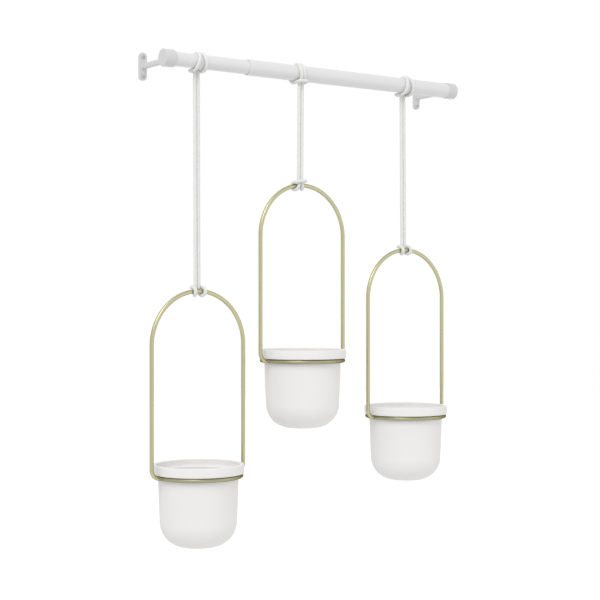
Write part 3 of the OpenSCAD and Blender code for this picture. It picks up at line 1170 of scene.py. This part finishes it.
class PLANTER_OT_hangers(Operator):
    """Makes the brass hoops and rings with their welds"""

    bl_idname = "planter.hangers"
    bl_label = "Hangers"

    def execute(self, context):
        scene = context.scene
        sizes = scene.planter_hangers
        hoop_brass = satin_brass("Hoop Brass", scene.planter_finishes.hoop_brass)
        # A darker copy of the satin brass for the rings and welds, as painted shade from the lips above
        shaded_ring_brass = satin_brass("Ring Brass", scene.planter_finishes.shaded_ring_brass)
        tree = swept_wire_tree()
        wire = {"Diameter": sizes.wire_d, "Step": WIRE_STEP, "Sides": WIRE_SIDES}
        weld = {
            "Diameter": sizes.weld_d,
            "Step": WELD_STEP,
            "Sides": WELD_SIDES,
            "End Round": sizes.weld_length / 2,
            "Material": shaded_ring_brass,
        }
        for side in SIDES:
            hanger = Hanger(side, sizes)
            name = side + "_hoop_wire"
            path = path_object(name + "_path", hanger.hoop_path(), False)
            values = {**wire, "End Round": sizes.end_round, "Material": hoop_brass}
            hoop = Modifier.run(tree, path, name, values)
            name = side + "_ring_wire"
            path = path_object(name + "_path", hanger.ring_path(), True)
            values = {**wire, "End Round": 0.0, "Material": shaded_ring_brass}
            ring = Modifier.run(tree, path, name, values)
            fillets = []
            for number, points in enumerate(hanger.weld_paths(sizes.weld_length)):
                path = path_object(f"{side}_weld_path_{number}", points, False)
                fillets.append(Modifier.run(tree, path, f"{side}_weld_{number}", weld))
            join(ring, *fillets)
            for made, node in ((hoop, side + "_hoop"), (ring, side + "_ring")):
                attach(made, side + "_hanger")
                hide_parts(node)
        return {"FINISHED"}


class PLANTER_OT_pots(Operator):
    """Makes the three lipped pots"""

    bl_idname = "planter.pots"
    bl_label = "Pots"

    def execute(self, context):
        scene = context.scene
        sizes = scene.planter_pots
        glaze = matt_pot("Pot Glaze", scene.planter_finishes.pot_white)
        for side in SIDES:
            node = side + "_pot"
            low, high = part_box(node)
            pot = lathe(node + "_glazed", self.outline(sizes, high - low), POT_TURNS)
            pot.data.transform(
                Matrix.Translation((frame_middle(node, "x"), frame_middle(node, "y"), low.z))
            )
            tidy_mesh(pot, glaze)
            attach(pot, side + "_planter")
            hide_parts(node)
        return {"FINISHED"}

    @staticmethod
    def outline(sizes, span):
        """Half outline from the middle of the underside, round the lip, to the middle of the floor."""
        lip_r, height = span.x / 2, span.z
        under = height - sizes.lip_h
        step = height - sizes.lip_h + sizes.wall
        low_r, top_r = sizes.low_d / 2, sizes.top_d / 2
        inner = sizes.corner - sizes.wall
        middle = low_r - sizes.corner
        arc = [math.pi / 2 * k / CORNER_STEPS for k in range(CORNER_STEPS + 1)]
        outside = [
            (middle + sizes.corner * math.sin(t), sizes.corner * (1 - math.cos(t))) for t in arc
        ]
        inside = [
            (middle + inner * math.sin(t), sizes.corner - inner * math.cos(t))
            for t in reversed(arc)
        ]
        corners = [
            (*outside[-1], 0),
            (top_r, under, POT_ROUND),
            (lip_r, under, sizes.edge),
            (lip_r, height, sizes.edge),
            (lip_r - sizes.lip_t, height, sizes.edge),
            (lip_r - sizes.lip_t, step, LEDGE_ROUND),
            (top_r - sizes.wall, step, POT_ROUND),
            (*inside[0], 0),
        ]
        line = [Vector((0, 0)), *map(Vector, outside[:-1]), *filleted(corners, POT_FILLET_STEPS)]
        line += [*map(Vector, inside[1:]), Vector((0, sizes.wall))]
        return spread(line, POT_STEP)


class PLANTER_PT_panel(Panel):
    """Lists the planter's pieces and sizes"""

    bl_label = "Hanging Planter"
    bl_idname = "PLANTER_PT_panel"
    bl_space_type = "VIEW_3D"
    bl_region_type = "UI"
    bl_category = "Planter"

    def draw(self, context):
        layout = self.layout
        for operator in OPERATORS:
            layout.operator(operator.bl_idname)
        for title, group in GROUPS.items():
            box = layout.box()
            box.label(text=group.__doc__)
            values = getattr(context.scene, title)
            for name in group.__annotations__:
                box.prop(values, name)


GROUPS = {
    "planter_stage": StageSizes,
    "planter_cords": CordSizes,
    "planter_rod": RodSizes,
    "planter_screws": ScrewSizes,
    "planter_hangers": HangerSizes,
    "planter_pots": PotSizes,
    "planter_finishes": Finishes,
}
OPERATORS = (
    PLANTER_OT_stage,
    PLANTER_OT_cords,
    PLANTER_OT_rod,
    PLANTER_OT_brackets,
    PLANTER_OT_screws,
    PLANTER_OT_hangers,
    PLANTER_OT_pots,
)
CLASSES = (*GROUPS.values(), *OPERATORS, PLANTER_PT_panel)


def register():
    for item in CLASSES:
        bpy.utils.register_class(item)
    for title, group in GROUPS.items():
        setattr(bpy.types.Scene, title, PointerProperty(type=group))


def unregister():
    for title in GROUPS:
        delattr(bpy.types.Scene, title)
    for item in reversed(CLASSES):
        bpy.utils.unregister_class(item)


def main():
    register()
    bpy.ops.planter.stage()
    bpy.ops.planter.cords()
    bpy.ops.planter.rod()
    bpy.ops.planter.brackets()
    bpy.ops.planter.screws()
    bpy.ops.planter.hangers()
    bpy.ops.planter.pots()


if __name__ == "__main__":
    main()
